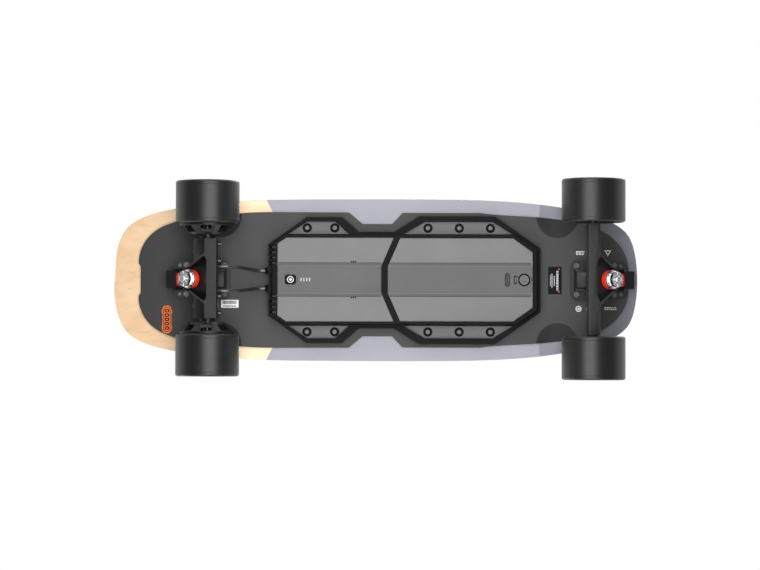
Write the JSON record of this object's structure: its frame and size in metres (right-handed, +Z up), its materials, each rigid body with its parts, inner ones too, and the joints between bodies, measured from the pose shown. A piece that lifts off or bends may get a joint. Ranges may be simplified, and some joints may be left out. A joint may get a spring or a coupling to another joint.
{
  "type": "electric skateboard",
  "caption": "Short electric skateboard: kicked wooden deck, moulded belly cover and battery tub, steering trucks, wide urethane wheels and hub motors at the tail.",
  "frame": {"origin": "middle of the board on the ground under its four wheels", "axes": "+X towards the nose, +Y towards the rider's left, +Z up"},
  "size_m": [0.7527, 0.284, 0.1511],
  "materials": {
    "deck_wood": "clear-varnished maple veneer with a painted fade",
    "grip": "coarse abrasive grit",
    "cover_plastic": "fine matte moulded plastic",
    "frame_plastic": "dark glass-filled plastic",
    "panel_plastic": "spark-eroded texture",
    "black_metal": "black anodised or powder coated",
    "dark_screw": "black oxide steel",
    "steel": "turned steel",
    "chrome_nut": "polished",
    "bushing_urethane": "translucent orange urethane",
    "tyre_urethane": "smooth satin urethane",
    "core_plastic": "moulded nylon",
    "cable_rubber": "smooth jacket",
    "cell_wrap": "heat-shrink sleeve",
    "circuit_board": "solder mask",
    "aluminium_sink": "extruded",
    "light_pipe": "clear light pipe",
    "sticker_white": "printed film",
    "sticker_black": "printed film",
    "badge_orange": "raised badge",
    "copper": "enamelled windings",
    "gasket_rubber": "foam strip"
  },
  "bodies": {
    "board": {"base_cover": "cover_plastic", "battery_cells": "cell_wrap", "battery_cover_panel": "panel_plastic", "battery_level_lights": "light_pipe", "battery_protection_board": "circuit_board", "battery_tray": "frame_plastic", "cable_glands": "frame_plastic", "charge_port_socket": "frame_plastic", "cup_washers": "dark_screw", "deck_board": "deck_wood", "enclosure_frame": "frame_plastic", "enclosure_gasket": "gasket_rubber", "enclosure_screws": "dark_screw", "esc_cover_panel": "panel_plastic", "flange_plates": "panel_plastic", "front_baseplate": "black_metal", "front_boardside_bushing": "bushing_urethane", "front_roadside_bushing": "bushing_urethane", "grip_tape": "grip", "heat_sink": "aluminium_sink", "kingpin_nuts": "chrome_nut", "kingpins": "steel", "motor_cable_left": "cable_rubber", "motor_cable_right": "cable_rubber", "pivot_cups": "bushing_urethane", "power_switch": "circuit_board", "rating_label": "sticker_black", "rear_baseplate": "black_metal", "rear_boardside_bushing": "bushing_urethane", "rear_roadside_bushing": "bushing_urethane", "riser_pads": "gasket_rubber", "serial_sticker": "sticker_white", "speed_controller": "circuit_board", "tail_badge": "badge_orange", "truck_bolt_nuts": "dark_screw", "truck_bolts": "dark_screw"},
    "front_truck": {"front_hanger": "black_metal", "front_axle": "steel", "front_axle_nuts": "steel"},
    "rear_truck": {"rear_hanger": "black_metal", "motor_shafts": "steel", "motor_stators": "copper", "rear_clamp_screws": "dark_screw"},
    "power_button": {"power_button": "panel_plastic"},
    "charge_cap": {"charge_port_cap": "panel_plastic"},
    "front_wheel_left": {"front_tyre_left": "tyre_urethane", "front_wheel_core_left": "core_plastic", "front_wheel_bearings_left": "steel"},
    "rear_wheel_left": {"rear_tyre_left": "tyre_urethane", "motor_can_left": "black_metal", "motor_bearings_left": "steel"},
    "front_wheel_right": {"front_tyre_right": "tyre_urethane", "front_wheel_core_right": "core_plastic", "front_wheel_bearings_right": "steel"},
    "rear_wheel_right": {"rear_tyre_right": "tyre_urethane", "motor_can_right": "black_metal", "motor_bearings_right": "steel"}
  },
  "joints": [
    {"name": "front_steer", "type": "hinge", "parent": "board", "child": "front_truck", "pos_m": [0.3276, 0, 0.067], "axis": [0.766, 0, 0.6428], "range_deg": [-12, 12], "stiffness_Nm_per_rad": 60, "deforming": ["front_roadside_bushing", "front_boardside_bushing"]},
    {"name": "rear_steer", "type": "hinge", "parent": "board", "child": "rear_truck", "pos_m": [-0.2562, 0, 0.067], "axis": [-0.766, 0, 0.6428], "range_deg": [-12, 12], "stiffness_Nm_per_rad": 60, "deforming": ["rear_roadside_bushing", "rear_boardside_bushing", "motor_cable_left", "motor_cable_right"]},
    {"name": "front_left_wheel_spin", "type": "hinge", "parent": "front_truck", "child": "front_wheel_left", "pos_m": [0.3081, 0.11, 0.045], "axis": [0, 1, 0], "continuous": true},
    {"name": "front_right_wheel_spin", "type": "hinge", "parent": "front_truck", "child": "front_wheel_right", "pos_m": [0.3081, -0.11, 0.045], "axis": [0, 1, 0], "continuous": true},
    {"name": "rear_left_wheel_spin", "type": "hinge", "parent": "rear_truck", "child": "rear_wheel_left", "pos_m": [-0.2367, 0.11, 0.045], "axis": [0, 1, 0], "continuous": true},
    {"name": "rear_right_wheel_spin", "type": "hinge", "parent": "rear_truck", "child": "rear_wheel_right", "pos_m": [-0.2367, -0.11, 0.045], "axis": [0, 1, 0], "continuous": true},
    {"name": "power_button_press", "type": "slide", "parent": "board", "child": "power_button", "axis": [0, 0, 1], "range_m": [0, 0.0012], "stiffness_N_per_m": 400},
    {"name": "charge_cap_open", "type": "hinge", "parent": "board", "child": "charge_cap", "pos_m": [0.2006, 0, 0.0853], "axis": [0, 1, 0], "range_deg": [0, 110]}
  ]
}
